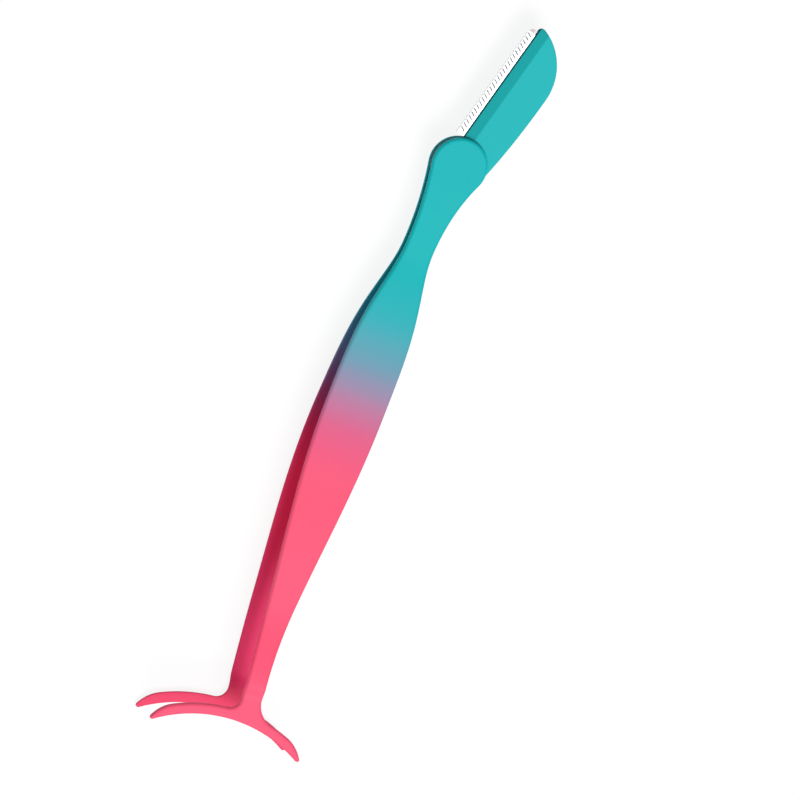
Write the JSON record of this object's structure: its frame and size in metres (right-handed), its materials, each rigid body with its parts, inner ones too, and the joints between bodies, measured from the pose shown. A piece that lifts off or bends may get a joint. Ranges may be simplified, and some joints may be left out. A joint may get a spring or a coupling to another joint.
{
  "type": "curved tweezers",
  "caption": "Sprung tweezers with crescent jaws for strip lashes at one end and a fold-away brow razor with a comb guard at the other.",
  "frame": {"origin": "middle of the bottom of the tool's box, lying on the rear leaf with the arms at rest and the razor open", "axes": "+X along the tool from the jaws to the razor, +Y to the blade side, +Z from the rear leaf to the front leaf"},
  "size_m": [0.1644, 0.036, 0.0152],
  "materials": {
    "teal_paint": "soft matt paint",
    "fade_paint": "soft matt paint, fading from teal at the heel to pink at the jaw",
    "spacer_plastic": "matt",
    "holder_plastic": "satin",
    "pin_steel": "ground",
    "washer_nylon": "natural",
    "blade_steel": "honed",
    "guard_steel": "bright foil"
  },
  "bodies": {
    "heel": {"front_leaf_heel": "teal_paint", "rear_leaf_heel": "teal_paint", "back_spacer": "spacer_plastic", "spacer_pin_upper": "pin_steel", "spacer_pin_lower": "pin_steel", "pivot_pin": "pin_steel", "stop_pin": "pin_steel", "front_pivot_washer": "washer_nylon", "rear_pivot_washer": "washer_nylon"},
    "front_arm": {"front_leaf_arm": "fade_paint"},
    "rear_arm": {"rear_leaf_arm": "fade_paint"},
    "razor": {"razor_holder_front": "holder_plastic", "razor_holder_rear": "holder_plastic", "razor_blade": "blade_steel", "blade_guard": "guard_steel"}
  },
  "joints": [
    {"name": "front_squeeze", "type": "hinge", "parent": "heel", "child": "front_arm", "pos_m": [0.02906, -0.00285, 0.0091], "axis": [0, -1, 0], "range_deg": [0, 3.16], "stiffness_Nm_per_rad": 1.6},
    {"name": "rear_squeeze", "type": "hinge", "parent": "heel", "child": "rear_arm", "pos_m": [0.02906, -0.00285, 0.0061], "axis": [0, 1, 0], "range_deg": [0, 3.16], "stiffness_Nm_per_rad": 1.6},
    {"name": "razor_fold", "type": "hinge", "parent": "heel", "child": "razor", "pos_m": [0.04906, -0.00465, 0.0076], "axis": [0, 0, 1], "range_deg": [0, 176]}
  ],
  "couplings": [
    {"joint": "rear_squeeze", "follows": "front_squeeze", "ratio": 1}
  ]
}
